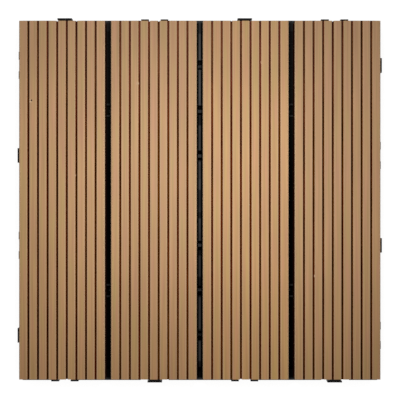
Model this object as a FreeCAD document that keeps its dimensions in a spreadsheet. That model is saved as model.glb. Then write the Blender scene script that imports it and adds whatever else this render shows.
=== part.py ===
import FreeCAD, Part
import os
import re
import Sketcher

# Interlocking deck tile: four grooved wood composite slats screwed from below to one moulded base
# whose T lugs and sockets hook into the next tile.  Millimetres, +Z up, the slats run along Y and
# the origin is on the ground under the middle of the tile.

doc = FreeCAD.newDocument("deck_tile")
sheet = doc.addObject("Spreadsheet::Sheet", "sizes")

driving_sizes = [
    # the tile and its slats
    ("tile_pitch", 300, "from the middle of one tile to the middle of the next"),
    ("slat_count", 4, "slats side by side"),
    ("slat_gap", 4.8, "open drainage gap between two slats"),
    ("slat_end_gap", 7.2, "gap between slat ends of two joined tiles"),
    ("slat_thickness", 12.5, "slat from its seat to its walking face"),
    ("slat_edge_radius", 1.0, "rounding of the two long top edges"),
    ("groove_count", 8, "anti-slip grooves in each slat"),
    ("groove_width", 1.5, "groove at the walking face"),
    ("groove_floor", 1.1, "groove at its floor"),
    ("groove_depth", 2.5, "groove below the walking face"),
    ("groove_lip", 0.3, "small bevel of the two lips of a groove"),
    ("edge_ridge", 6.9, "flat ridge outside the last groove"),
    ("relief_width", 8, "shallow channel under the slat"),
    ("relief_depth", 1.5, "depth of that channel"),
    ("relief_count", 4, "channels under each slat"),
    # the moulded base
    ("base_height", 9.5, "ground to the seat of the slats"),
    ("rim_clearance", 0.6, "outer wall inside the line where two tiles meet"),
    ("rim_wall", 2.2, "outer wall of the base"),
    ("rim_foot", 2.0, "ground to the lower edge of that wall"),
    ("ledge_width", 9, "flat ledge that runs round the top"),
    ("ledge_thickness", 1.6, "thickness of the ledge"),
    ("base_corner", 3.0, "rounding of the four outer corners"),
    ("rib_wall", 2.2, "ribs that carry the slats"),
    ("rib_foot", 3.0, "ground to the lower edge of every rib"),
    ("cross_rib_count", 7, "ribs across the slats"),
    ("tie_wall", 1.5, "thin ribs halfway between the cross ribs"),
    ("tie_drop", 3.0, "thin ribs below the seat of the slats"),
    ("flange_width", 10, "foot flange of the ribs under the gaps, which stops the view down"),
    ("flange_thickness", 1.4, "thickness of that flange"),
    ("channel_width", 12, "drain channel under an outer gap"),
    ("channel_drop", 3.0, "floor of that channel below the seat"),
    ("foot_width", 11, "square feet"),
    ("foot_wall", 1.5, "wall of the feet"),
    ("foot_sole", 1.6, "closed end of the feet"),
    ("drain_width", 2.8, "square drain hole in a cup foot"),
    ("hub_diameter", 17, "disc over the middle foot"),
    ("hub_thickness", 1.6, "thickness of the disc"),
    # screws and their bosses
    ("screw_row_count", 2, "screws along each slat"),
    ("boss_width", 9, "square bosses"),
    ("boss_foot", 4.6, "ground to the seat of a screw head under its boss"),
    ("screw_hole_clearance", 0.6, "hole in the boss wider than the screw's thread"),
    ("screw_thread", 3.5, "outer diameter of the thread"),
    ("screw_core", 2.6, "diameter of the solid core"),
    ("screw_length", 12, "blunt thread-forming screw below its head"),
    ("screw_head_diameter", 7, "pan head"),
    ("screw_head_height", 2.2, "height of the head"),
    ("pilot_clearance", 0.1, "pilot hole wider than the core"),
    ("pilot_reserve", 0.5, "pilot hole beyond the end of the screw"),
    # hooks that join the tiles
    ("neck_width", 9.0, "lug between base and head"),
    ("head_width", 12.0, "T head of a lug"),
    ("head_thickness", 1.2, "T head of a lug"),
    ("jaw_width", 6.3, "each of the two jaws of a socket"),
    ("jaw_thickness", 1.2, "lip of a jaw"),
    ("jaw_reach", 0.9, "jaws beyond the line where two tiles meet"),
    ("side_clearance", 0.45, "lug in its socket, each side"),
    ("lock_clearance", 0.2, "lug in its socket, front and back"),
    ("pocket_wall", 2.0, "wall round the back of a socket"),
    ("hook_height", 6.5, "height of lugs and jaws"),
    ("hook_lead", 0.5, "bevel that leads a lug into a socket"),
]

# Lengths that follow from the driving ones
derived_sizes = {
    "slat_pitch": "tile_pitch / slat_count",
    "slat_width": "slat_pitch - slat_gap",
    "slat_length": "tile_pitch - slat_end_gap",
    "groove_pitch": "(slat_width - 2 * edge_ridge - groove_width) / (groove_count - 1)",
    "relief_pitch": "slat_pitch / relief_count",
    "long_rib_pitch": "slat_pitch / 2",
    "long_rib_count": "2 * slat_count - 1",
    "cross_rib_pitch": "tile_pitch / (cross_rib_count + 1)",
    "neck_reach": "jaw_thickness - jaw_reach + lock_clearance",
    "lug_reach": "neck_reach + head_thickness",
    "half_side": "tile_pitch / 2 - rim_clearance",
    "inner_half": "half_side - rim_wall",
    "rib_half": "half_side - rim_wall / 2",
    "ledge_half": "half_side - ledge_width",
    "foot_bore": "foot_width - 2 * foot_wall",
    "screw_hole": "screw_thread + screw_hole_clearance",
    "pilot_diameter": "screw_core + pilot_clearance",
    "pilot_depth": "boss_foot + screw_length + pilot_reserve - base_height",
    "screw_half": "(cross_rib_count / 2 - 1) * cross_rib_pitch",
    "screw_step": "2 * screw_half / (screw_row_count - 1)",
    "hook_foot": "rim_foot",
    "hook_pitch": "tile_pitch / 4",
    "lip_gap": "neck_width + 2 * side_clearance",
    "pocket_width": "head_width + 2 * side_clearance",
    "jaw_face": "tile_pitch / 2 + jaw_reach",
    "lug_face": "tile_pitch / 2 + lug_reach",
    "hook_root": "half_side - rim_wall / 2",
    "lug_middle": "-1.5 * hook_pitch",
    "socket_middle": "-0.5 * hook_pitch",
    "pocket_back": "tile_pitch / 2 - lug_reach - lock_clearance",
    "recess_back": "tile_pitch / 2 - jaw_reach - lock_clearance",
}


past = 1  # how far a hollow runs on beyond the face that it opens


def full(text):
    """Turn a size written in plain names into an expression on the cells of the sheet."""
    def replace(match):
        name = match.group(0)
        if name in derived_sizes:
            return "(" + full(derived_sizes[name]) + ")"
        return "sizes." + name
    return re.sub(r"[a-z][a-z_]+", replace, str(text))


def value(text):
    """The number that such a size has now."""
    return float(sheet.evalExpression(full(text)))


def fill_sheet():
    for row, (alias, number, note) in enumerate(driving_sizes, start=1):
        sheet.set(f"A{row}", alias)
        sheet.set(f"B{row}", str(number))
        sheet.set(f"C{row}", note)
        sheet.setAlias(f"B{row}", alias)
    doc.recompute()


def new_body(label, x="0", y="0", z="0"):
    """A body of its own, which may hold several equal solids."""
    body = doc.addObject("PartDesign::Body", label)
    body.Label = label
    body.setExpression(".Placement.Base.x", full(x))
    body.setExpression(".Placement.Base.y", full(y))
    body.setExpression(".Placement.Base.z", full(z))
    body.AllowCompound = True
    return body


def origin_feature(body, role):
    return [part for part in body.Origin.OriginFeatures if part.Role == role][0]


def new_sketch(body, name, plane, height="0"):
    sketch = body.newObject("Sketcher::SketchObject", name)
    sketch.AttachmentSupport = [(origin_feature(body, plane), "")]
    sketch.MapMode = "FlatFace"
    sketch.setExpression(".AttachmentOffset.Base.z", full(height))
    return sketch


def bind_point(sketch, geometry, point, x, y):
    """Fix a point of a sketch at two named sizes from the sketch's origin."""
    for kind, size, axis in (("DistanceX", x, -2), ("DistanceY", y, -1)):
        if str(size) == "0":
            sketch.addConstraint(Sketcher.Constraint("PointOnObject", geometry, point, axis))
            continue
        index = sketch.addConstraint(Sketcher.Constraint(kind, geometry, point, value(size)))
        sketch.setExpression(f"Constraints[{index}]", full(size))


def add_outline(sketch, corners):
    """A closed outline of straight lines through the corners, each given by two sizes."""
    first = sketch.GeometryCount
    places = [FreeCAD.Vector(value(x), value(y), 0) for x, y in corners]
    count = len(corners)
    for i in range(count):
        sketch.addGeometry(Part.LineSegment(places[i], places[(i + 1) % count]), False)
    for i in range(count):
        after = first + (i + 1) % count
        sketch.addConstraint(Sketcher.Constraint("Coincident", first + i, 2, after, 1))
    for i, (x, y) in enumerate(corners):
        bind_point(sketch, first + i, 1, x, y)


def add_rectangle(sketch, left, bottom, right, top):
    add_outline(sketch, [(left, bottom), (right, bottom), (right, top), (left, top)])


def add_square(sketch, half):
    add_rectangle(sketch, f"-{half}", f"-{half}", half, half)


def add_circle(sketch, x, y, diameter):
    middle = FreeCAD.Vector(value(x), value(y), 0)
    radius = value(diameter) / 2
    index = sketch.addGeometry(Part.Circle(middle, FreeCAD.Vector(0, 0, 1), radius), False)
    bind_point(sketch, index, 3, x, y)
    width = sketch.addConstraint(Sketcher.Constraint("Diameter", index, 2 * radius))
    sketch.setExpression(f"Constraints[{width}]", full(diameter))


def add_feature(body, kind, sketch, name, length, reversed_way=False):
    feature = body.newObject(f"PartDesign::{kind}", name)
    feature.Profile = sketch
    feature.setExpression("Length", full(length))
    feature.Reversed = reversed_way
    sketch.Visibility = False
    return feature


def pad(body, sketch, name, length):
    return add_feature(body, "Pad", sketch, name, length)


def pocket_up(body, sketch, name, length):
    """Cut from the sketch upwards."""
    return add_feature(body, "Pocket", sketch, name, length, True)


def pocket_down(body, sketch, name, length):
    """Cut from the sketch downwards."""
    return add_feature(body, "Pocket", sketch, name, length)


def linear_step(body, name, axis, step, count):
    pattern = body.newObject("PartDesign::LinearPattern", name)
    pattern.Direction = (origin_feature(body, axis), [""])
    pattern.setExpression("Length", full(f"({step}) * (({count}) - 1)"))
    pattern.setExpression("Occurrences", full(count))
    return pattern


def repeat_along(body, name, originals, axis, step, count):
    """One row of copies."""
    pattern = linear_step(body, name, axis, step, count)
    pattern.Originals = originals
    body.Tip = pattern
    return pattern


def repeat_grid(body, name, originals, x_step, x_count, y_step, y_count):
    """Rows and columns of copies."""
    grid = body.newObject("PartDesign::MultiTransform", name)
    grid.Originals = originals
    columns = linear_step(body, name + "_columns", "X_Axis", x_step, x_count)
    rows = linear_step(body, name + "_rows", "Y_Axis", y_step, y_count)
    grid.Transformations = [columns, rows]
    body.Tip = grid
    return grid


def round_edges(body, name, kind, size, wanted):
    """Fillet or chamfer every edge of the body for which wanted(edge) is true."""
    doc.recompute()
    base = body.Tip
    chosen = [f"Edge{i}" for i, edge in enumerate(base.Shape.Edges, start=1) if wanted(edge)]
    feature = body.newObject(f"PartDesign::{kind}", name)
    feature.Base = (base, chosen)
    feature.setExpression("Radius" if kind == "Fillet" else "Size", full(size))
    body.Tip = feature
    return feature


def near(a, b):
    return abs(a - b) < 1e-4


# The base, one moulding: solids that are joined, then hollows that are cut out of them

def make_frame():
    body = new_body("frame")
    outline = new_sketch(body, "rim_outline", "XY_Plane", "rim_foot")
    add_square(outline, "half_side")
    add_square(outline, "inner_half")
    pad(body, outline, "rim", "base_height - rim_foot")
    ledge = new_sketch(body, "ledge_outline", "XY_Plane", "base_height - ledge_thickness")
    add_square(ledge, "half_side")
    add_square(ledge, "ledge_half")
    pad(body, ledge, "ledge", "ledge_thickness")
    corner = value("half_side")

    def on_corner(edge):
        box = edge.BoundBox
        upright = near(box.XMin, box.XMax) and near(box.YMin, box.YMax)
        return upright and near(abs(box.XMin), corner) and near(abs(box.YMin), corner)

    round_edges(body, "base_corners", "Fillet", "base_corner", on_corner)
    return body


def make_ribs(label, across, wall, height, step, count):
    """A row of equal ribs, across the slats or along them."""
    body = new_body(label)
    start = f"-(({count}) - 1) / 2 * ({step})"
    low = f"{start} - {wall} / 2"
    high = f"{start} + {wall} / 2"
    outline = new_sketch(body, label + "_outline", "XY_Plane", "rib_foot")
    if across:
        add_rectangle(outline, "-rib_half", low, "rib_half", high)
    else:
        add_rectangle(outline, low, "-rib_half", high, "rib_half")
    rib = pad(body, outline, label + "_first", height)
    repeat_along(body, label + "_row", [rib], "Y_Axis" if across else "X_Axis", step, count)
    return body


def make_turned(label, profile, places):
    """Equal turned solids in a grid; the profile is radii and heights from the lower end up."""
    x, y, x_step, x_count, y_step, y_count = places
    body = new_body(label, x, y)
    section = new_sketch(body, label + "_section", "XZ_Plane")
    add_outline(section, [("0", profile[0][1])] + profile + [("0", profile[-1][1])])
    turned = body.newObject("PartDesign::Revolution", label + "_first")
    turned.Profile = section
    turned.ReferenceAxis = (section, ["V_Axis"])
    turned.Angle = 360
    repeat_grid(body, label + "_grid", [turned], x_step, x_count, y_step, y_count)
    return body


def make_posts(label, width, low, high, places):
    """Equal square posts in a grid."""
    x, y, x_step, x_count, y_step, y_count = places
    body = new_body(label, x, y)
    outline = new_sketch(body, label + "_outline", "XY_Plane", low)
    add_square(outline, f"{width} / 2")
    post = pad(body, outline, label + "_first", f"{high} - {low}")
    repeat_grid(body, label + "_grid", [post], x_step, x_count, y_step, y_count)
    return body


def repeat_round(body, name, originals):
    """Twice along a side, then turned to all four sides."""
    around = body.newObject("PartDesign::MultiTransform", name)
    around.Originals = originals
    along = linear_step(body, name + "_along", "X_Axis", "2 * hook_pitch", "2")
    turned = body.newObject("PartDesign::PolarPattern", name + "_turned")
    turned.Axis = (origin_feature(body, "Z_Axis"), [""])
    turned.Angle = 360
    turned.Occurrences = 4
    around.Transformations = [along, turned]
    body.Tip = around


def make_hooks():
    """A T lug and the two jaws of a socket, on all four sides."""
    body = new_body("hooks")
    neck_end = "tile_pitch / 2 + neck_reach"
    lug_outline = new_sketch(body, "lug_outline", "XY_Plane", "hook_foot")
    add_outline(lug_outline, [
        ("lug_middle - neck_width / 2", "hook_root"),
        ("lug_middle + neck_width / 2", "hook_root"),
        ("lug_middle + neck_width / 2", neck_end),
        ("lug_middle + head_width / 2", neck_end),
        ("lug_middle + head_width / 2", "lug_face"),
        ("lug_middle - head_width / 2", "lug_face"),
        ("lug_middle - head_width / 2", neck_end),
        ("lug_middle - neck_width / 2", neck_end),
    ])
    lug = pad(body, lug_outline, "lug", "hook_height")

    jaw_outline = new_sketch(body, "jaw_outline", "XY_Plane", "hook_foot")
    for first, last in (("-(lip_gap / 2 + jaw_width)", "-lip_gap / 2"),
                        ("+ lip_gap / 2", "+ (lip_gap / 2 + jaw_width)")):
        add_rectangle(jaw_outline, f"socket_middle {first}", "hook_root",
                      f"socket_middle {last}", "jaw_face")
    jaws = pad(body, jaw_outline, "jaws", "hook_height")
    repeat_round(body, "hook_grid", [lug, jaws])
    bevel_hooks(body)
    return body


def make_pocket_walls():
    """Blocks behind the rim that close the backs of the sockets."""
    body = new_body("pocket_walls")
    outline = new_sketch(body, "pocket_wall_outline", "XY_Plane", "rim_foot")
    half = "(pocket_width / 2 + pocket_wall)"
    add_rectangle(outline, f"socket_middle - {half}", "pocket_back - pocket_wall",
                  f"socket_middle + {half}", "hook_root")
    block = pad(body, outline, "pocket_wall_first", "base_height - rim_foot")
    repeat_round(body, "pocket_wall_grid", [block])
    return body


def make_hook_room():
    """The space that the next tile's lugs and jaws take in the rim."""
    body = new_body("hook_room")
    outline = new_sketch(body, "hook_room_outline", "XY_Plane", f"rim_foot - {past}")
    add_rectangle(outline, "socket_middle - pocket_width / 2", "pocket_back",
                  "socket_middle + pocket_width / 2", "jaw_face - jaw_thickness")
    recess_end = "(lip_gap / 2 + jaw_width + side_clearance)"
    for first, last in ((f"-{recess_end}", "-neck_width / 2"),
                        ("+ neck_width / 2", f"+ {recess_end}")):
        add_rectangle(outline, f"lug_middle {first}", "recess_back",
                      f"lug_middle {last}", "tile_pitch / 2")
    room = pad(body, outline, "hook_room_first", f"base_height - rim_foot + 2 * {past}")
    repeat_round(body, "hook_room_grid", [room])
    return body


def bevel_hooks(body):
    """Bevel the lower outer edge of each lug and the upper outer edge of each jaw."""
    lug_face = value("lug_face")
    jaw_face = value("jaw_face")
    low = value("hook_foot")
    high = value("hook_foot + hook_height")

    def wanted(edge):
        box = edge.BoundBox
        for flat, reach in ((near(box.XMin, box.XMax), abs(box.XMin)),
                            (near(box.YMin, box.YMax), abs(box.YMin))):
            on_lug = near(reach, lug_face) and near(box.ZMin, low) and near(box.ZMax, low)
            on_jaw = near(reach, jaw_face) and near(box.ZMin, high) and near(box.ZMax, high)
            if flat and (on_lug or on_jaw):
                return True
        return False

    round_edges(body, "hook_bevels", "Chamfer", "hook_lead", wanted)


def make_channels():
    """The space of the drain channels, in three lengths each between the cups in them."""
    body = new_body("channels")
    x = "slat_pitch * (slat_count / 2 - 1)"
    near_cup = "2 * cross_rib_pitch - foot_width / 2"
    far_cup = "2 * cross_rib_pitch + foot_width / 2"
    outline = new_sketch(body, "channel_outline", "XY_Plane", "base_height - channel_drop")
    for side in ("-", ""):
        left = f"{side}({x}) - channel_width / 2"
        right = f"{side}({x}) + channel_width / 2"
        for low, high in (("-ledge_half", f"-({far_cup})"), (f"-({near_cup})", near_cup),
                          (far_cup, "ledge_half")):
            add_rectangle(outline, left, low, right, high)
    pad(body, outline, "channel", f"channel_drop + {past}")
    return body


def make_base():
    """Join the solids of the base, then cut its hollows out of them."""
    half_rows = "(cross_rib_count - 1) / 2"
    outer_gap = "slat_pitch * (slat_count / 2 - 1)"
    # where things stand: first place in x and y, then step and count in x and in y
    under_slats = ("-(slat_count - 1) / 2 * slat_pitch", f"-{half_rows} * cross_rib_pitch",
                   "slat_pitch", "slat_count", "2 * cross_rib_pitch", "(cross_rib_count + 1) / 2")
    north_gap = ("0", "cross_rib_pitch", "slat_pitch", "1", "cross_rib_pitch", half_rows)
    south_gap = ("0", f"-{half_rows} * cross_rib_pitch", "slat_pitch", "1", "cross_rib_pitch",
                 half_rows)
    outer_gaps = (f"-({outer_gap})", "-2 * cross_rib_pitch", f"2 * {outer_gap}", "2",
                  "4 * cross_rib_pitch", "2")
    middle = ("0", "0", "slat_pitch", "1", "slat_pitch", "1")
    at_screws = ("-(slat_count - 1) / 2 * slat_pitch", "-screw_half", "slat_pitch", "slat_count",
                 "screw_step", "screw_row_count")
    cups = {"north_cups": north_gap, "south_cups": south_gap, "side_cups": outer_gaps}

    hub_low = "base_height - hub_thickness"
    solids = [
        make_frame(),
        make_ribs("cross_ribs", True, "rib_wall", "base_height - rib_foot", "cross_rib_pitch",
                  "cross_rib_count"),
        make_ribs("long_ribs", False, "rib_wall", "base_height - rib_foot", "long_rib_pitch",
                  "long_rib_count"),
        make_ribs("tie_ribs", True, "tie_wall", "base_height - rib_foot - tie_drop",
                  "cross_rib_pitch", "cross_rib_count + 1"),
        make_ribs("gap_flanges", False, "flange_width", "flange_thickness", "slat_pitch",
                  "slat_count - 1"),
        make_posts("slat_feet", "foot_width", "0", "base_height", under_slats),
        make_posts("hub_foot", "foot_width", "0", "base_height", middle),
        make_posts("bosses", "boss_width", "boss_foot", "base_height", at_screws),
        make_turned("hub", [("hub_diameter / 2", hub_low), ("hub_diameter / 2", "base_height")],
                    middle),
        make_pocket_walls(),
        make_hooks(),
    ]
    solids += [make_posts(label, "foot_width", "0", "base_height", places)
               for label, places in cups.items()]

    below = f"-{past}"
    above = f"base_height + {past}"
    # a boss ends above the feet of the ribs, so its square of the ribs is cleared for the head
    hole = [("screw_hole / 2", below), ("screw_hole / 2", above)]
    hollows = [
        make_channels(),
        make_hook_room(),
        make_posts("slat_foot_bores", "foot_bore", below, "base_height - foot_sole", under_slats),
        make_posts("hub_bore", "foot_bore", below, "base_height - foot_sole", middle),
        make_posts("head_rooms", "boss_width", below, "boss_foot", at_screws),
        make_turned("screw_holes", hole, at_screws),
    ]
    for label, places in cups.items():
        hollows.append(make_posts(label + "_bores", "foot_bore", "foot_sole", above, places))
        hollows.append(make_posts(label + "_drains", "drain_width", below, above, places))

    joined = doc.addObject("Part::MultiFuse", "base_solid")
    joined.Shapes = solids
    joined.Refine = False
    away = doc.addObject("Part::Compound", "base_hollows")
    away.Links = hollows
    base = doc.addObject("Part::Cut", "base_grid")
    base.Label = "base_grid"
    base.Base = joined
    base.Tool = away
    base.Refine = True
    return base


# The slats, four alike

def make_slat(number):
    body = new_body(f"slat_{number}", f"({number} - 1 - (slat_count - 1) / 2) * slat_pitch", "0",
                    "base_height")
    section = new_sketch(body, "slat_section", "XZ_Plane")
    add_rectangle(section, "-slat_width / 2", "0", "slat_width / 2", "slat_thickness")
    plank = pad(body, section, "plank", "slat_length")
    plank.Midplane = True

    first = "-(groove_count - 1) / 2 * groove_pitch"
    floor = "slat_thickness - groove_depth"
    groove_section = new_sketch(body, "groove_section", "XZ_Plane")
    add_outline(groove_section, [
        (f"{first} - groove_floor / 2", floor),
        (f"{first} + groove_floor / 2", floor),
        (f"{first} + groove_width / 2", "slat_thickness"),
        (f"{first} - groove_width / 2", "slat_thickness"),
    ])
    groove = pocket_down(body, groove_section, "groove", "slat_length")
    groove.Midplane = True
    repeat_along(body, "grooves", [groove], "X_Axis", "groove_pitch", "groove_count")

    first = "-(relief_count - 1) / 2 * relief_pitch"
    relief_section = new_sketch(body, "relief_section", "XZ_Plane")
    add_rectangle(relief_section, f"{first} - relief_width / 2", "0",
                  f"{first} + relief_width / 2", "relief_depth")
    relief = pocket_down(body, relief_section, "relief", "slat_length")
    relief.Midplane = True
    repeat_along(body, "reliefs", [relief], "X_Axis", "relief_pitch", "relief_count")

    pilot_outline = new_sketch(body, "pilot_outline", "XY_Plane")
    add_circle(pilot_outline, "0", "-screw_half", "pilot_diameter")
    pilot = pocket_up(body, pilot_outline, "pilot", "pilot_depth")
    repeat_along(body, "pilots", [pilot], "Y_Axis", "screw_step", "screw_row_count")
    round_slat_edges(body)
    return body


def round_slat_edges(body):
    """Round the two long edges and bevel the lips of the grooves."""
    top = value("slat_thickness")
    half = value("slat_width / 2")

    def along_top(edge):
        box = edge.BoundBox
        return near(box.ZMin, top) and near(box.ZMax, top) and near(box.XMin, box.XMax)

    def on_long_edge(edge):
        return along_top(edge) and near(abs(edge.BoundBox.XMin), half)

    def on_lip(edge):
        return along_top(edge) and not near(abs(edge.BoundBox.XMin), half)

    round_edges(body, "long_edges", "Fillet", "slat_edge_radius", on_long_edge)
    round_edges(body, "groove_lips", "Chamfer", "groove_lip", on_lip)


# The screws, all alike, driven from below

def make_screws():
    body = new_body("slat_screws", "-(slat_count - 1) / 2 * slat_pitch", "-screw_half", "boss_foot")
    section = new_sketch(body, "screw_section", "XZ_Plane")
    add_outline(section, [
        ("0", "-screw_head_height"),
        ("screw_head_diameter / 2", "-screw_head_height"),
        ("screw_head_diameter / 2", "0"),
        ("screw_core / 2", "0"),
        ("screw_core / 2", "screw_length"),
        ("0", "screw_length"),
    ])
    screw = body.newObject("PartDesign::Revolution", "screw")
    screw.Profile = section
    screw.ReferenceAxis = (section, ["V_Axis"])
    screw.Angle = 360
    repeat_grid(body, "screws", [screw], "slat_pitch", "slat_count", "screw_step",
                "screw_row_count")
    return body


def check_and_export(pieces):
    doc.recompute()
    for item in doc.Objects:
        if "Invalid" in item.State or "Error" in item.State:
            raise RuntimeError(f"{item.Name} failed: {item.State}")
    for piece in pieces:
        if piece.Shape.isNull() or not piece.Shape.isValid():
            raise RuntimeError(f"{piece.Label} has no valid shape")
    os.makedirs("parts", exist_ok=True)
    for piece in pieces:
        shape = piece.Shape
        shape.exportStep(f"parts/{piece.Label}.step")
        print(f"{piece.Label}: {len(shape.Solids)} solids, {shape.Volume / 1000:.2f} cm3")


fill_sheet()
slats = [make_slat(number) for number in range(1, int(value("slat_count")) + 1)]
check_and_export([make_base()] + slats + [make_screws()])
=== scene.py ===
import math

import bmesh
import bpy
import mathutils
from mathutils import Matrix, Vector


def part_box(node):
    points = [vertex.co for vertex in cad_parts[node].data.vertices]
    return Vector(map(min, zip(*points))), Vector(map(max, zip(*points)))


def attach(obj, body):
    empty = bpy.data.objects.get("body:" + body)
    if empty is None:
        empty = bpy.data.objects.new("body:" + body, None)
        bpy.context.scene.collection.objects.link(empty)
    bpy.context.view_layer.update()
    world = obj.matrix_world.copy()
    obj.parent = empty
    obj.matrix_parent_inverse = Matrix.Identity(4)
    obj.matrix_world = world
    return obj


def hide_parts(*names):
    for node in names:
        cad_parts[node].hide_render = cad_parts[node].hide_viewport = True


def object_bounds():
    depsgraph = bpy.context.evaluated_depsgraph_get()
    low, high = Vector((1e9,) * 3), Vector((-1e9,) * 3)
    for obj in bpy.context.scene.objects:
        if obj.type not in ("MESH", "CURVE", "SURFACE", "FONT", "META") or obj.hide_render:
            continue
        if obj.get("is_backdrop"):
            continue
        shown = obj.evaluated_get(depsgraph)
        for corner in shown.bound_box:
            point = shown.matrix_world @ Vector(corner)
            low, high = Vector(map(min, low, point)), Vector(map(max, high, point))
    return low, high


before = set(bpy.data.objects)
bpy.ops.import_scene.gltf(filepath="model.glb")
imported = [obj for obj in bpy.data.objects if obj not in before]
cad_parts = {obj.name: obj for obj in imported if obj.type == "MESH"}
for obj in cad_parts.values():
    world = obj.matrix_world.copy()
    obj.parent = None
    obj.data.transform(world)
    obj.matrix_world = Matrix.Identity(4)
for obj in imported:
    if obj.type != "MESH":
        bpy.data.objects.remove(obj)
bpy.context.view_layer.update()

# Interlocking deck tile, seen straight from above: four grooved wood composite slats on a black
# moulded base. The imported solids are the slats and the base, and the screws below get their threads
# here. Lengths are in metres, the slats run along Y and the ground is at zero.

mm = 0.001
slatNames = ["slat_1", "slat_2", "slat_3", "slat_4"]


# Small helpers for shader trees

class Tree:
    def __init__(self, material):
        material.use_nodes = True
        self.nodes = material.node_tree.nodes
        self.links = material.node_tree.links
        self.nodes.clear()
        self.output = self.add("ShaderNodeOutputMaterial")
        self.coords = self.add("ShaderNodeTexCoord").outputs["Object"]

    def add(self, kind, **settings):
        node = self.nodes.new(kind)
        for name, setting in settings.items():
            setattr(node, name, setting)
        return node

    def feed(self, socket, source):
        if isinstance(source, bpy.types.NodeSocket):
            self.links.new(source, socket)
        else:
            socket.default_value = source

    def math(self, operation, first, second=0.0):
        node = self.add("ShaderNodeMath", operation=operation)
        self.feed(node.inputs[0], first)
        self.feed(node.inputs[1], second)
        return node.outputs[0]

    def times(self, first, *others):
        for other in others:
            first = self.math("MULTIPLY", first, other)
        return first

    def plus(self, first, second):
        return self.math("ADD", first, second)

    def minus(self, first, second):
        return self.math("SUBTRACT", first, second)

    def rest(self, share):
        # what a share leaves of one
        return self.minus(1.0, share)

    def size(self, source):
        # how far a number is from zero, on either side
        return self.math("ABSOLUTE", source)

    def ease(self, source, low, high, first=0.0, last=1.0):
        # a soft step: first where the source is at low, last where it is at high
        node = self.add("ShaderNodeMapRange", interpolation_type="SMOOTHSTEP")
        self.feed(node.inputs["Value"], source)
        self.feed(node.inputs["From Min"], low)
        self.feed(node.inputs["From Max"], high)
        self.feed(node.inputs["To Min"], first)
        self.feed(node.inputs["To Max"], last)
        return node.outputs["Result"]

    def ramp(self, source, low, high, first, last):
        # the same in a straight line
        result = self.ease(source, low, high, first, last)
        result.node.interpolation_type = "LINEAR"
        return result

    def split(self, source=None):
        node = self.add("ShaderNodeSeparateXYZ")
        self.feed(node.inputs[0], source or self.coords)
        return node.outputs

    def join(self, x, y, z):
        node = self.add("ShaderNodeCombineXYZ")
        for socket, source in zip(node.inputs, (x, y, z)):
            self.feed(socket, source)
        return node.outputs[0]

    def edge(self, source, at, span):
        # a soft step from 0 to 1 whose two ends lie at a place plus the two lengths of the span
        return self.ease(source, at + span[0], at + span[1])

    def blend(self, share, first, last):
        # a number that goes from first to last as the share goes from 0 to 1
        return self.ramp(share, 0.0, 1.0, first, last)

    def place(self, scale, offset=(0, 0, 0)):
        node = self.add("ShaderNodeMapping")
        self.feed(node.inputs["Vector"], self.coords)
        node.inputs["Location"].default_value = offset
        node.inputs["Scale"].default_value = scale
        return node.outputs[0]

    def noise(self, where=None, scale=1.0, detail=2.0, roughness=0.5, distortion=0.0):
        node = self.add("ShaderNodeTexNoise")
        self.feed(node.inputs["Vector"], where or self.coords)
        node.inputs["Scale"].default_value = scale
        node.inputs["Detail"].default_value = detail
        node.inputs["Roughness"].default_value = roughness
        node.inputs["Distortion"].default_value = distortion
        return node.outputs[0]

    def pattern(self, scale, offset=(0, 0, 0), **settings):
        # noise that is stretched by its scale for each axis
        return self.noise(self.place(scale, offset), **settings)

    def mix(self, amount, first, second):
        node = self.add("ShaderNodeMix", data_type="RGBA")
        self.feed(node.inputs["Factor"], amount)
        self.feed(node.inputs["A"], first)
        self.feed(node.inputs["B"], second)
        return [socket for socket in node.outputs if socket.type == "RGBA"][0]

    def shade(self, colour, amount, saturation=1.0):
        node = self.add("ShaderNodeHueSaturation")
        self.feed(node.inputs["Color"], colour)
        self.feed(node.inputs["Value"], amount)
        self.feed(node.inputs["Saturation"], saturation)
        return node.outputs[0]

    def bump(self, height, distance, strength):
        node = self.add("ShaderNodeBump")
        self.feed(node.inputs["Height"], height)
        node.inputs["Distance"].default_value = distance
        node.inputs["Strength"].default_value = strength
        return node.outputs[0]

    def principled(self, colour, roughness, normal=None, **fixed):
        node = self.add("ShaderNodeBsdfPrincipled")
        self.feed(node.inputs["Base Color"], colour)
        self.feed(node.inputs["Roughness"], roughness)
        if normal:
            self.feed(node.inputs["Normal"], normal)
        for name, setting in fixed.items():
            node.inputs[name.replace("_", " ")].default_value = setting
        self.links.new(node.outputs[0], self.output.inputs["Surface"])
        return node


def paint(red, green, blue):
    # a colour as it reads on screen, 0 to 255, as the linear colour that a shader takes, by the
    # standard curve of a screen
    def linear(part):
        part /= 255
        return part / 12.92 if part <= 0.04045 else ((part + 0.055) / 1.055) ** 2.4
    return (linear(red), linear(green), linear(blue), 1.0)


def useMaterial(piece, material):
    piece.data.materials.clear()
    piece.data.materials.append(material)
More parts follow.
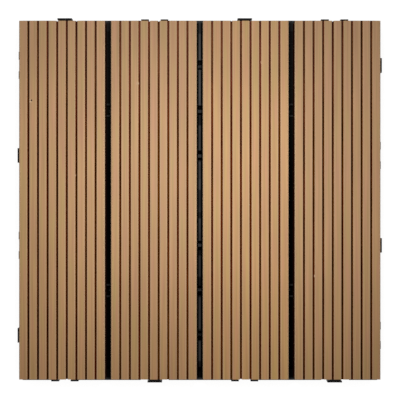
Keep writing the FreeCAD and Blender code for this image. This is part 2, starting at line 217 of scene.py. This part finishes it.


# Slats: brushed wood composite, darker in the grooves, where the extruded skin is left and painted shade
# deepens it, with painted highlights on the lips and painted shade on the sides in the gaps

# A row of two numbers says where a tone starts and where it is full, in a pattern or as a length. A row of
# four adds the tone at each. Scales are per metre across, along and up.
slatLook = {
    "grooveCount": 8,
    "groovePitch": 7.8429 * mm,
    "grooveHalf": 0.75 * mm,
    "grooveDepth": 2.5 * mm,
    "bevelEdge": (0.5 * mm, 0.4 * mm),
    "belowGroove": (0.2 * mm, 0.5 * mm),
    "sideSkinAt": (-0.12 * mm, -0.02 * mm),
    "endSkinAt": (-0.1 * mm, -0.04 * mm),
    "gapSidesWithin": (141 * mm, 140 * mm),
    "lipWidth": 1.5 * mm,
    "lipCore": 0.4 * mm,
    "lipStrength": 0.85,
    "warm": paint(198, 155, 110),
    "pale": paint(194, 159, 107),
    "pink": paint(201, 152, 115),
    "lip": paint(200, 165, 129),
    "stain": paint(180, 114, 56),
    "grooveSkinAndShade": paint(86, 28, 6),
    "paleGrooveSkinAndShade": paint(86, 44, 3),
    "mark": paint(45, 18, 6),
    "rim": paint(228, 192, 152),
    "sideSkin": paint(160, 118, 78),
    "gapSidePaintedShade": paint(60, 26, 8),
    "sawnEnd": paint(174, 134, 92),
    "farSkinTone": 1.75,
    "farSkinSaturation": 0.88,
    "farSkinFrom": (40 * mm, 130 * mm),
    "driftStep": 3.7,
    "driftPerMetre": 11,
    "driftShare": 0.35,
    "patchScale": (330, 24, 40),
    "pinkAt": (0.48, 0.64),
    "paleAt": (0.52, 0.36),
    "fineScale": (1500, 19.8, 1500),
    "fineTone": (0.25, 0.75, 0.93, 1.07),
    "coarseScale": (600, 9, 50),
    "coarseTone": (0.25, 0.75, 0.92, 1.07),
    "blotchScale": (28, 13, 28),
    "blotchTone": (0.3, 0.7, 0.97, 1.025),
    "fibreScale": (2600, 420, 2600),
    "darkFibreTone": (0.7, 0.8, 1.0, 0.9),
    "paleFibreTone": (0.3, 0.22, 1.0, 1.05),
    "stainDepth": (0.02 * mm, 0.2 * mm),
    "skinDepth": (0.25 * mm, 0.45 * mm),
    "paleSkinAt": (0.4, 0.6),
    "skinTone": (0.35, 0.65, 0.6, 1.35),
    "sideTone": (0.3, 0.7, 0.93, 1.05),
    "cutScale": (900, 900, 1500),
    "cutTone": (0.3, 0.7, 0.78, 1.12),
    "cutHeight": 1.5,
    "fineHeight": 0.6,
    "bumpDepth": 0.12 * mm,
    "bumpStrength": 0.8,
    "roughness": (0.3, 0.7, 0.57, 0.7),
    "gloss": 0.35,
    "seedStep": 4.3,
    # lightness of each slat at its left and right edge, a painted shade across it, then its saturation at
    # the near and the far end
    "tones": {
        "slat_1": (1.01, 0.985, 1.05, 0.98),
        "slat_2": (0.925, 0.88, 1.05, 0.98),
        "slat_3": (0.925, 1.035, 1.08, 1.01),
        "slat_4": (0.935, 0.925, 1.04, 0.97),
    },
    # small marks on the walking face: a dark speck with a painted highlight on its rim, and a pale spot
    # beside a burr
    "marks": {
        "slat_1": [
            {"colour": "rim", "x": -138.1 * mm, "y": 80.4 * mm, "width": 1.3 * mm, "length": 0.6 * mm,
             "strength": 0.9},
            {"colour": "rim", "x": -138.6 * mm, "y": 82.2 * mm, "width": 0.8 * mm, "length": 0.5 * mm,
             "strength": 0.6},
            {"colour": "mark", "x": -137.3 * mm, "y": 81.4 * mm, "width": 0.6 * mm, "length": 0.8 * mm,
             "strength": 1.0},
        ],
        "slat_2": [
            {"colour": "lip", "x": -50.9 * mm, "y": 95.3 * mm, "width": 1.0 * mm, "length": 1.6 * mm,
             "strength": 0.7},
        ],
    },
}


def spotMask(tree, x, y, width, length, soft=(1.6, 0.3)):
    # a soft oval: soft gives where its edge starts and where it is full
    across, along, _ = tree.split()
    u = tree.math("DIVIDE", tree.minus(across, x), width)
    v = tree.math("DIVIDE", tree.minus(along, y), length)
    return tree.ease(tree.plus(tree.times(u, u), tree.times(v, v)), *soft)


def makeSlatMaterial(name, look, seed):
    low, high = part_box(name)
    middle = (low.x + high.x) / 2
    halfWidth = (high.x - low.x) / 2
    leftPaintedShade, rightPaintedShade, nearSaturation, farSaturation = look["tones"][name]
    material = bpy.data.materials.new(name + "_composite")
    tree = Tree(material)
    across, along, up = tree.split(tree.place((1, 1, 1), (-middle, 0, 0)))
    lastGroove = look["grooveCount"] - 1
    steps = tree.plus(tree.math("DIVIDE", across, look["groovePitch"]), lastGroove / 2)
    ridge = tree.math("FLOOR", steps)
    nearest = tree.math("ROUND", steps)
    inRow = tree.math("MINIMUM", tree.math("MAXIMUM", nearest, 0), lastGroove)
    offGroove = tree.times(tree.size(tree.minus(steps, inRow)), look["groovePitch"])

    # long patches of pinker and yellower composite, and a slower drift from ridge to ridge
    key = tree.plus(tree.times(ridge, look["driftStep"]), seed)
    drift = tree.noise(tree.join(key, tree.times(along, look["driftPerMetre"]), seed))
    patches = tree.pattern(look["patchScale"], (seed, 0, 0), detail=3.0, roughness=0.6)
    tint = tree.plus(tree.times(drift, look["driftShare"]), tree.times(patches, 1 - look["driftShare"]))
    colour = tree.mix(tree.ease(tint, *look["pinkAt"]), look["warm"], look["pink"])
    colour = tree.mix(tree.ease(tint, *look["paleAt"]), colour, look["pale"])

    # brushed streaks, fine and coarse, wide blotches, and short darker and lighter wood fibres
    fine = tree.pattern(look["fineScale"], detail=3.0, roughness=0.6)
    coarse = tree.pattern(look["coarseScale"], (seed, 0, 0))
    blotch = tree.pattern(look["blotchScale"], (seed, seed, 0), detail=3.0)
    fibre = tree.pattern(look["fibreScale"], (seed, 0, 0))
    value = tree.times(
        tree.ease(fine, *look["fineTone"]),
        tree.ease(coarse, *look["coarseTone"]),
        tree.ease(blotch, *look["blotchTone"]),
        # painted shade across each slat, from its left to its right edge
        tree.ramp(across, -halfWidth, halfWidth, leftPaintedShade, rightPaintedShade),
        tree.ease(fibre, *look["darkFibreTone"]),
        tree.ease(fibre, *look["paleFibreTone"]))
    colour = tree.shade(colour, value, tree.ramp(along, low.y, high.y, nearSaturation, farSaturation))

    # painted highlight on the lips beside each groove and gap, a stained bevel and the dark skin inside,
    # deepened with painted shade
    fromEdge = tree.minus(halfWidth, tree.size(across))
    offLip = tree.math("MINIMUM", tree.minus(offGroove, look["grooveHalf"]), fromEdge)
    lip = tree.ease(offLip, look["lipWidth"], look["lipCore"], 0.0, look["lipStrength"])
    colour = tree.mix(lip, colour, tree.shade(look["lip"], value))
    depth = tree.minus(high.z, up)
    inGroove = tree.edge(offGroove, look["grooveHalf"], look["bevelEdge"])
    stained = tree.times(tree.ease(depth, *look["stainDepth"]), inGroove)
    colour = tree.mix(stained, colour, tree.shade(look["stain"], value))
    # the groove colour holds the darker extruded skin and painted shade
    skinAndShade = tree.mix(tree.ease(drift, *look["paleSkinAt"]), look["grooveSkinAndShade"], look["paleGrooveSkinAndShade"])
    far = tree.ease(along, *look["farSkinFrom"])
    skinTone = tree.times(tree.ease(patches, *look["skinTone"]), tree.blend(far, 1.0, look["farSkinTone"]))
    skinAndShade = tree.shade(skinAndShade, skinTone, tree.blend(far, 1.0, look["farSkinSaturation"]))
    colour = tree.mix(tree.times(tree.ease(depth, *look["skinDepth"]), inGroove), colour, skinAndShade)

    # plain skin below the grooves and on the outer sides, painted shade on the sides inside the gaps
    plainSkin = tree.shade(look["sideSkin"], tree.ease(coarse, *look["sideTone"]))
    below = tree.edge(depth, look["grooveDepth"], look["belowGroove"])
    colour = tree.mix(below, colour, plainSkin)
    side = tree.edge(tree.size(across), halfWidth, look["sideSkinAt"])
    inGap = tree.ease(tree.size(tree.split()[0]), *look["gapSidesWithin"])
    colour = tree.mix(side, colour, tree.mix(inGap, plainSkin, look["gapSidePaintedShade"]))

    # sawn ends, coarse, with the cut fibres showing, and the small marks
    ends = tree.edge(tree.size(along), high.y, look["endSkinAt"])
    cut = tree.pattern(look["cutScale"], detail=4.0, roughness=0.65)
    colour = tree.mix(ends, colour, tree.shade(look["sawnEnd"], tree.ease(cut, *look["cutTone"])))
    for mark in look["marks"].get(name, []):
        spot = spotMask(tree, mark["x"], mark["y"], mark["width"], mark["length"])
        colour = tree.mix(tree.times(spot, mark["strength"]), colour, look[mark["colour"]])

    height = tree.plus(tree.times(fine, look["fineHeight"]), tree.times(coarse, 1 - look["fineHeight"]))
    height = tree.plus(height, tree.times(cut, ends, look["cutHeight"]))
    normal = tree.bump(height, look["bumpDepth"], look["bumpStrength"])
    shader = tree.principled(colour, tree.ease(fine, *look["roughness"]), normal)
    # no sheen on the stained bevels, nor on the painted shade of the sides inside the gaps
    dull = tree.math("MAXIMUM", tree.times(stained, tree.rest(below)), tree.times(side, inGap))
    tree.feed(shader.inputs["Specular IOR Level"], tree.blend(dull, look["gloss"], 0.0))
    return material


for number, name in enumerate(slatNames, start=1):
    slatMaterial = makeSlatMaterial(name, slatLook, slatLook["seedStep"] * number)
    useMaterial(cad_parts[name], slatMaterial)
print("slats: composite material with grooves, lips, streaks and sawn ends")


# Burrs of composite left on the lips of five grooves

burrLook = {
    "burrs": [
        {"x": -50.15 * mm, "y": 95.3 * mm, "width": 0.45 * mm, "length": 1.3 * mm},
        {"x": 93.6 * mm, "y": -62.0 * mm, "width": 0.3 * mm, "length": 1.5 * mm},
        {"x": 40.45 * mm, "y": -3.8 * mm, "width": 0.3 * mm, "length": 1.2 * mm},
        {"x": -101.5 * mm, "y": 20.1 * mm, "width": 0.25 * mm, "length": 1.0 * mm},
        {"x": 49.95 * mm, "y": 112.6 * mm, "width": 0.22 * mm, "length": 1.4 * mm},
    ],
    "depth": 0.45 * mm,
    "ballDetail": 2,
    "unevenness": 0.2,
    "lumps": 1.7,
    "lumpShift": 100,
    "colour": paint(222, 184, 146),
    "fibresPerMetre": 2500,
    "fibreTone": (0.3, 0.7, 0.85, 1.1),
    "roughness": 0.7,
}


def makeBurrs(look):
    # each burr is an uneven ball, flattened and sunk until its top is level with the walking face
    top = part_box(slatNames[0])[1].z
    shape = bmesh.new()
    for burr in look["burrs"]:
        made = bmesh.ops.create_icosphere(shape, subdivisions=look["ballDetail"], radius=1.0)["verts"]
        offset = mathutils.Vector((burr["y"] * look["lumpShift"], 0, 0))  # so that no two are alike
        for vertex in made:
            spread = (1 + mathutils.noise.noise(vertex.co * look["lumps"] + offset)) / 2
            vertex.co *= 1 - look["unevenness"] * spread
            vertex.co.x = burr["x"] + vertex.co.x * burr["width"]
            vertex.co.y = burr["y"] + vertex.co.y * burr["length"]
            vertex.co.z = top + (vertex.co.z - 1) * look["depth"]
    mesh = bpy.data.meshes.new("groove_burrs")
    shape.to_mesh(mesh)
    shape.free()
    mesh.polygons.foreach_set("use_smooth", [True] * len(mesh.polygons))
    burrs = bpy.data.objects.new("groove_burrs", mesh)
    bpy.context.scene.collection.objects.link(burrs)
    material = bpy.data.materials.new("burr_composite")
    tree = Tree(material)
    fibres = tree.noise(scale=look["fibresPerMetre"], detail=3.0, roughness=0.6)
    colour = tree.shade(look["colour"], tree.ease(fibres, *look["fibreTone"]))
    tree.principled(colour, look["roughness"])
    useMaterial(burrs, material)
    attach(burrs, "root")


makeBurrs(burrLook)
print("burrs: on the lips of five grooves")


# Base: black moulded plastic with a fine texture and a trace of dust on what faces up, painted shade in
# its recesses and painted light and shade where it shows between the slats

baseLook = {
    "plastic": (0.016, 0.0155, 0.015, 1.0),
    # painted shade for the recesses below the seat
    "paintedRecessShade": (0.004, 0.0038, 0.0035, 1.0),
    "worn": (0.03, 0.029, 0.028, 1.0),
    "dust": (0.019, 0.018, 0.0165, 1.0),
    "seatHeight": 9.5 * mm,
    "recessAt": (-0.1 * mm, -0.6 * mm),
    "wallInside": (148 * mm, 147 * mm),
    "scuffScale": (90, 700, 500),
    "scuffAt": (0.56, 0.78),
    "specksPerMetre": (420, 420, 420),
    "dustTone": (0.35, 0.7, 0.25, 0.9),
    "dustFacing": (0.5, 0.95),
    "dustAt": (-0.3 * mm, 0.0),
    "softEdge": 1 * mm,
    "gapHalf": 2.4 * mm,
    "ribHighlightEdge": (0.55 * mm, 1.15 * mm, 1.0, 0.15),
    "paintedLightAlong": (0.75, 1.45),
    "paintedLightAtEnds": (50 * mm, 130 * mm, 0.0, 1.4),
    # the middle and half the length of each stretch of painted shade in the middle gap
    "shades": [(68.7 * mm, 6.5 * mm), (36.8 * mm, 4.5 * mm), (-12.1 * mm, 3.0 * mm),
               (-41.5 * mm, 4.5 * mm), (-72.0 * mm, 8.5 * mm), (-112.0 * mm, 5.0 * mm),
               (-138.0 * mm, 4.5 * mm)],
    "paintedShadeTone": 0.3,
    "padsFrom": 138 * mm,
    "padPaintedShade": 0.5,
    "nearPadPaintedShade": 0.8,
    "hubEdge": (9 * mm, 8.6 * mm),
    "hubPaintedShade": 0.5,
    "floorFrom": 20 * mm,
    "channelPaintedLight": 4.5,
    "flowScale": (14, 30, 40),
    "roughness": (0.3, 0.7, 0.44, 0.6),
    "recessRoughness": 0.9,
    "grainPerMetre": 2600,
    "grainDepth": 0.05 * mm,
    "grainStrength": 0.6,
    "gloss": 0.45,
    "glossInside": 0.14,
}


def makeGapPaintedLight(tree, look, x, y, inside, deep):
    # painted light and shade on the base where it shows between the slats
    offMiddle = tree.size(x)
    offCentre = tree.size(y)
    pads = look["padsFrom"]
    soft = look["softEdge"]

    # the middle gap, all painted light and shade: a painted highlight along the rib, with painted shade in
    # the middle, at the hub,
    #  on the end pads, beside the middle of the rib and along a few shaded stretches
    inGap = tree.times(tree.edge(offMiddle, look["gapHalf"], (soft, 0.0)), inside)
    tone = tree.plus(tree.ramp(y, -pads, pads, *look["paintedLightAlong"]), tree.ease(offCentre, *look["paintedLightAtEnds"]))
    for middle, half in look["shades"]:
        away = tree.size(tree.minus(y, middle))
        tone = tree.times(tone, tree.ease(away, half + soft, half - soft, 1.0, look["paintedShadeTone"]))
    squared = tree.plus(tree.times(x, x), tree.times(y, y))
    hub = tree.ease(tree.math("SQRT", squared), *look["hubEdge"])
    tone = tree.times(
        tone,
        tree.ease(offMiddle, *look["ribHighlightEdge"]),
        tree.ease(offCentre, pads, pads + soft, 1.0, look["padPaintedShade"]),
        tree.blend(hub, 1.0, look["hubPaintedShade"]))
    tone = tree.plus(tree.times(tree.minus(tone, 1.0), inGap), 1.0)

    # the outer gaps: painted light makes the channel floor lighter towards the far end
    channelLight = tree.ramp(y, look["floorFrom"], pads, 0.0, look["channelPaintedLight"])
    tone = tree.plus(tone, tree.times(channelLight, tree.rest(inGap), deep))

    # painted shade on all near pads
    nearPadShade = tree.times(tree.ease(y, -pads, -pads - soft, 0.0, look["nearPadPaintedShade"]), inside)
    return tree.times(tone, tree.rest(nearPadShade))


def makeBaseMaterial(look):
    material = bpy.data.materials.new("base_plastic_black")
    tree = Tree(material)
    x, y, up = tree.split()
    inside = tree.ease(tree.math("MAXIMUM", tree.size(x), tree.size(y)), *look["wallInside"])
    top = look["seatHeight"]
    deep = tree.times(tree.edge(up, top, look["recessAt"]), inside)
    tone = makeGapPaintedLight(tree, look, x, y, inside, deep)

    scuffs = tree.pattern(look["scuffScale"], detail=4.0, roughness=0.7)
    specks = tree.pattern(look["specksPerMetre"], detail=4.0, roughness=0.7)
    _, _, facing = tree.split(tree.add("ShaderNodeNewGeometry").outputs["Normal"])
    dusty = tree.times(
        tree.ease(facing, *look["dustFacing"]),
        tree.edge(up, top, look["dustAt"]),
        tree.ease(specks, *look["dustTone"]))
    colour = tree.mix(tree.ease(scuffs, *look["scuffAt"]), look["plastic"], look["worn"])
    # painted shade darkens the recesses
    colour = tree.mix(deep, colour, look["paintedRecessShade"])
    colour = tree.mix(dusty, colour, look["dust"])
    # the painted light and shade between the slats
    colour = tree.shade(colour, tone)

    flow = tree.pattern(look["flowScale"], detail=3.0, roughness=0.6, distortion=0.6)
    roughness = tree.ease(flow, *look["roughness"])
    roughness = tree.math("MAXIMUM", roughness, tree.times(deep, look["recessRoughness"]))
    grain = tree.noise(scale=look["grainPerMetre"])
    normal = tree.bump(grain, look["grainDepth"], look["grainStrength"])
    shader = tree.principled(colour, roughness, normal)
    # the sheen follows the painted light and shade, and the painted shade of the recesses has none
    gloss = tree.times(tree.blend(inside, look["gloss"], look["glossInside"]), tree.rest(deep), tone)
    tree.feed(shader.inputs["Specular IOR Level"], gloss)
    return material


useMaterial(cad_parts["base_grid"], makeBaseMaterial(baseLook))
print("base: black plastic material")


# Screws: one screw is made by Geometry Nodes and set at each place under the slats

screwLook = {
    "headRadius": 3.5 * mm,
    "headHeight": 2.2 * mm,
    "headEdge": 0.7 * mm,
    "coreRadius": 1.3 * mm,
    "threadRadius": 1.75 * mm,
    "threadPitch": 1.4 * mm,
    "plainEnd": 0.8 * mm,
    "crossLength": 3.8 * mm,
    "crossWidth": 0.9 * mm,
    "crossDepth": 1.4 * mm,
    "rows": 2,
    "sides": 36,
    "threadSteps": 20,
    "turnSeed": 7,
    "steel": (0.56, 0.55, 0.53, 1.0),
    "smearScale": (500, 500, 160),
    "roughness": (0.3, 0.7, 0.25, 0.45),
    "grainPerMetre": 4000,
    "grainDepth": 0.01 * mm,
    "grainStrength": 0.5,
}


def makeScrewMaterial(look):
    material = bpy.data.materials.new("screw_steel_plain")
    tree = Tree(material)
    smear = tree.pattern(look["smearScale"], detail=3.0, roughness=0.6)
    grain = tree.noise(scale=look["grainPerMetre"])
    normal = tree.bump(grain, look["grainDepth"], look["grainStrength"])
    tree.principled(look["steel"], tree.ease(smear, *look["roughness"]), normal, Metallic=1.0)
    return material


class Graph:
    # a Geometry Nodes tree with named inputs
    def __init__(self, name):
        self.tree = bpy.data.node_groups.new(name, "GeometryNodeTree")
        self.tree.interface.new_socket("Geometry", in_out="OUTPUT", socket_type="NodeSocketGeometry")
        self.entry = self.tree.nodes.new("NodeGroupInput")
        self.exit = self.tree.nodes.new("NodeGroupOutput")
        self.values = {}

    def input(self, name, kind, value):
        socket = self.tree.interface.new_socket(name, in_out="INPUT", socket_type="NodeSocket" + kind)
        self.values[socket.identifier] = value
        return self.entry.outputs[name]

    def add(self, kind, sockets=None, **settings):
        node = self.tree.nodes.new(kind)
        for name, setting in settings.items():
            setattr(node, name, setting)
        for key, source in (sockets or {}).items():
            socket = node.inputs[key]
            if isinstance(source, bpy.types.NodeSocket):
                self.tree.links.new(source, socket)
            else:
                socket.default_value = source
        return node

    def math(self, operation, first, second=0.0):
        return self.add("ShaderNodeMath", {0: first, 1: second}, operation=operation).outputs[0]

    def vector(self, x=0.0, y=0.0, z=0.0):
        return self.add("ShaderNodeCombineXYZ", {0: x, 1: y, 2: z}).outputs[0]

    def join(self, parts):
        node = self.add("GeometryNodeJoinGeometry")
        for part in reversed(parts):
            self.tree.links.new(part, node.inputs[0])
        return node.outputs[0]

    def move(self, geometry, offset):
        return self.add("GeometryNodeTransform", {"Geometry": geometry, "Translation": offset}).outputs[0]

    def bake(self, geometry, material, name):
        # finish the tree, run it once and return a plain mesh object
        real = self.add("GeometryNodeRealizeInstances", {0: geometry}).outputs[0]
        painted = self.add("GeometryNodeSetMaterial", {"Geometry": real, "Material": material})
        self.tree.links.new(painted.outputs[0], self.exit.inputs[0])
        carrier = bpy.data.objects.new(name, bpy.data.meshes.new(name + "_carrier"))
        bpy.context.scene.collection.objects.link(carrier)
        modifier = carrier.modifiers.new("nodes", "NODES")
        modifier.node_group = self.tree
        for identifier, value in self.values.items():
            modifier[identifier] = value
        graph = bpy.context.evaluated_depsgraph_get()
        mesh = bpy.data.meshes.new_from_object(carrier.evaluated_get(graph))
        carrier.modifiers.remove(modifier)
        carrier.data = mesh
        mesh.name = name
        return carrier


def makeScrews(look, material):
    low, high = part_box("slat_screws")
    columns = len(slatNames)
    headRadius = look["headRadius"]
    stepX = (high.x - low.x - 2 * headRadius) / (columns - 1)
    stepY = (high.y - low.y - 2 * headRadius) / (look["rows"] - 1)

    graph = Graph("screws")
    head = graph.input("Head radius", "Float", headRadius)
    headHeight = graph.input("Head height", "Float", look["headHeight"])
    headEdge = graph.input("Head edge", "Float", look["headEdge"])
    core = graph.input("Core radius", "Float", look["coreRadius"])
    thread = graph.input("Thread radius", "Float", look["threadRadius"])
    pitch = graph.input("Thread pitch", "Float", look["threadPitch"])
    plainEnd = graph.input("Plain end", "Float", look["plainEnd"])
    length = graph.input("Length", "Float", high.z - low.z)
    crossLength = graph.input("Cross length", "Float", look["crossLength"])
    crossWidth = graph.input("Cross width", "Float", look["crossWidth"])
    crossDepth = graph.input("Cross depth", "Float", look["crossDepth"])
    sides = graph.input("Sides", "Int", look["sides"])
    countX = graph.input("Columns", "Int", columns)
    countY = graph.input("Rows", "Int", look["rows"])
    fieldWidth = graph.input("Field width", "Float", stepX * (columns - 1))
    fieldLength = graph.input("Field length", "Float", stepY * (look["rows"] - 1))

    # the pan head: a disc whose lower edge slopes in, with a cross driven into its face
    bevel = graph.add("GeometryNodeMeshCone", {
        "Vertices": sides, "Radius Top": head, "Radius Bottom": graph.math("SUBTRACT", head, headEdge),
        "Depth": headEdge}).outputs["Mesh"]
    discHeight = graph.math("SUBTRACT", headHeight, headEdge)
    disc = graph.add("GeometryNodeMeshCylinder", {
        "Vertices": sides, "Radius": head, "Depth": discHeight}).outputs["Mesh"]
    disc = graph.move(disc, graph.vector(z=graph.math(
        "ADD", headEdge, graph.math("MULTIPLY", discHeight, 0.5))))
    blank = graph.add("GeometryNodeMeshBoolean", {
        "Mesh 2": graph.join([bevel, disc])}, operation="UNION", solver="EXACT")
    bar = graph.add("GeometryNodeMeshCube", {"Size": graph.vector(
        crossLength, crossWidth, graph.math("MULTIPLY", crossDepth, 2))}).outputs["Mesh"]
    turned = graph.add("GeometryNodeTransform", {
        "Geometry": bar, "Rotation": (0, 0, math.pi / 2)}).outputs[0]
    cross = graph.add("GeometryNodeMeshBoolean", {
        "Mesh 2": graph.join([bar, turned])}, operation="UNION", solver="EXACT")
    driven = graph.add("GeometryNodeMeshBoolean", {
        "Mesh 1": blank.outputs[0], "Mesh 2": cross.outputs[0]}, operation="DIFFERENCE", solver="EXACT")

    # the blunt shank and its thread, a ridge swept up a spiral from the head to near the end
    shankLength = graph.math("SUBTRACT", length, headHeight)
    shank = graph.add("GeometryNodeMeshCylinder", {
        "Vertices": sides, "Radius": core, "Depth": shankLength}).outputs["Mesh"]
    shank = graph.move(shank, graph.vector(z=graph.math(
        "ADD", headHeight, graph.math("MULTIPLY", shankLength, 0.5))))
    rise = graph.math("SUBTRACT", shankLength, graph.math("MULTIPLY", plainEnd, 2))
    spiral = graph.add("GeometryNodeCurveSpiral", {
        "Resolution": look["threadSteps"], "Rotations": graph.math("DIVIDE", rise, pitch),
        "Start Radius": core, "End Radius": core, "Height": rise, "Reverse": False})
    upright = graph.add("GeometryNodeSetCurveNormal", {"Curve": spiral.outputs[0]}, mode="Z_UP")
    ridgeSide = graph.math("MULTIPLY", graph.math("SUBTRACT", thread, core), math.sqrt(2))
    profile = graph.add("GeometryNodeCurvePrimitiveQuadrilateral", {
        "Width": ridgeSide, "Height": ridgeSide}).outputs[0]
    profile = graph.add("GeometryNodeTransform", {
        "Geometry": profile, "Rotation": (0, 0, math.pi / 4)}).outputs[0]
    swept = graph.add("GeometryNodeCurveToMesh", {
        "Curve": upright.outputs[0], "Profile Curve": profile, "Fill Caps": True}).outputs[0]
    swept = graph.move(swept, graph.vector(z=graph.math("ADD", headHeight, plainEnd)))

    screw = graph.join([driven.outputs[0], shank, swept])
    field = graph.add("GeometryNodeMeshGrid", {
        "Size X": fieldWidth, "Size Y": fieldLength, "Vertices X": countX,
        "Vertices Y": countY}).outputs["Mesh"]
    field = graph.move(field, graph.vector((low.x + high.x) / 2, (low.y + high.y) / 2, low.z))
    turn = graph.add("FunctionNodeRandomValue", {
        "Min": (0, 0, 0), "Max": (0, 0, math.pi), "Seed": look["turnSeed"]}, data_type="FLOAT_VECTOR")
    placed = graph.add("GeometryNodeInstanceOnPoints", {
        "Points": field, "Instance": screw, "Rotation": turn.outputs[0]})
    screws = graph.bake(placed.outputs[0], material, "threaded_screws")
    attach(screws, "root")
    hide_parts("slat_screws")


makeScrews(screwLook, makeScrewMaterial(screwLook))
print("screws: threaded shanks and cross recesses under the slats")


# Floor, light and camera

stageLook = {
    "floorSize": 6.0,
    "floorColour": (0.86, 0.86, 0.86, 1.0),
    "floorUnderPaintedShadow": (0.06, 0.06, 0.06, 1.0),
    "floorGlow": 0.86,
    "paintedShadowUnder": (12 * mm, 6 * mm),
    "lampPlace": (0.0, 0.033, 0.275),
    "lampSize": 0.11,
    "lampPower": 0.622,
    "ambient": 0.2,
}
cameraLook = {
    "foot": (-0.003, -0.008),
    "height": 0.672,
    "pixelsPerMetre": 1225.6,
    "imageSide": 400,
    "tileMiddle": (199.8, 200.15),
    "sensor": 36.0,
    "clipStart": 0.01,
}


def makeFloor(look):
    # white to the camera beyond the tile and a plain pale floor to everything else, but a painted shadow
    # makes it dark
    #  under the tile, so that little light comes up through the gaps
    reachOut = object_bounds()[1].x
    darkFrom, darkTo = look["paintedShadowUnder"]
    mesh = bpy.data.meshes.new("floor")
    half = look["floorSize"] / 2
    mesh.from_pydata([(-half, -half, 0), (half, -half, 0), (half, half, 0), (-half, half, 0)], [],
                     [(0, 1, 2, 3)])
    floor = bpy.data.objects.new("floor", mesh)
    bpy.context.scene.collection.objects.link(floor)
    material = bpy.data.materials.new("floor_white")
    tree = Tree(material)
    x, y, _ = tree.split()
    reach = tree.math("MAXIMUM", tree.size(x), tree.size(y))
    outside = tree.ease(reach, reachOut - darkFrom, reachOut - darkTo)
    path = tree.add("ShaderNodeLightPath").outputs
    seen = tree.math("MAXIMUM", path["Is Camera Ray"], path["Is Glossy Ray"])
    seen = tree.math("MAXIMUM", seen, path["Is Transmission Ray"])
    bright = tree.add("ShaderNodeEmission")
    plain = tree.add("ShaderNodeBsdfDiffuse")
    tree.feed(plain.inputs["Color"], tree.mix(outside, look["floorUnderPaintedShadow"], look["floorColour"]))
    tree.feed(bright.inputs["Strength"], tree.times(seen, outside, look["floorGlow"]))
    both = tree.add("ShaderNodeAddShader")
    tree.links.new(plain.outputs[0], both.inputs[0])
    tree.links.new(bright.outputs[0], both.inputs[1])
    tree.links.new(both.outputs[0], tree.output.inputs["Surface"])
    useMaterial(floor, material)
    floor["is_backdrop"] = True


def makeWorld(look):
    world = bpy.data.worlds.new("studio")
    bpy.context.scene.world = world
    world.use_nodes = True
    nodes, links = world.node_tree.nodes, world.node_tree.links
    nodes.clear()
    path = nodes.new("ShaderNodeLightPath")
    seen = nodes.new("ShaderNodeMath")
    seen.operation = "MAXIMUM"
    links.new(path.outputs["Is Camera Ray"], seen.inputs[0])
    links.new(path.outputs["Is Transmission Ray"], seen.inputs[1])
    ambient = nodes.new("ShaderNodeBackground")
    ambient.inputs["Color"].default_value = (1.0, 1.0, 1.0, 1.0)
    ambient.inputs["Strength"].default_value = look["ambient"]
    white = nodes.new("ShaderNodeBackground")
    white.inputs["Color"].default_value = (1.0, 1.0, 1.0, 1.0)
    mixed = nodes.new("ShaderNodeMixShader")
    output = nodes.new("ShaderNodeOutputWorld")
    links.new(seen.outputs[0], mixed.inputs[0])
    links.new(ambient.outputs[0], mixed.inputs[1])
    links.new(white.outputs[0], mixed.inputs[2])
    links.new(mixed.outputs[0], output.inputs["Surface"])


def makeLamp(look):
    lamp = bpy.data.lights.new("overhead_softbox", "AREA")
    lamp.shape = "DISK"
    lamp.size = look["lampSize"]
    lamp.energy = look["lampPower"]
    holder = bpy.data.objects.new("overhead_softbox", lamp)
    holder.location = look["lampPlace"]
    holder.visible_camera = False
    bpy.context.scene.collection.objects.link(holder)


def makeCamera(look):
    # straight down, with the small shift that puts the middle of the tile where the photo has it
    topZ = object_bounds()[1].z
    data = bpy.data.cameras.new("camera")
    data.sensor_width = look["sensor"]
    distance = look["height"] - topZ
    data.lens = look["pixelsPerMetre"] * distance / look["imageSide"] * look["sensor"]
    camera = bpy.data.objects.new("camera", data)
    camera.location = (look["foot"][0], look["foot"][1], look["height"])
    centre = look["imageSide"] / 2
    right = -look["foot"][0] * look["pixelsPerMetre"] - (look["tileMiddle"][0] - centre)
    above = -look["foot"][1] * look["pixelsPerMetre"] + (look["tileMiddle"][1] - centre)
    data.shift_x = right / look["imageSide"]
    data.shift_y = above / look["imageSide"]
    data.clip_start = look["clipStart"]
    bpy.context.scene.collection.objects.link(camera)
    bpy.context.scene.camera = camera


makeFloor(stageLook)
makeWorld(stageLook)
makeLamp(stageLook)
makeCamera(cameraLook)
bpy.context.scene.view_settings.view_transform = "Standard"
print("stage: floor, world, lamp and camera")
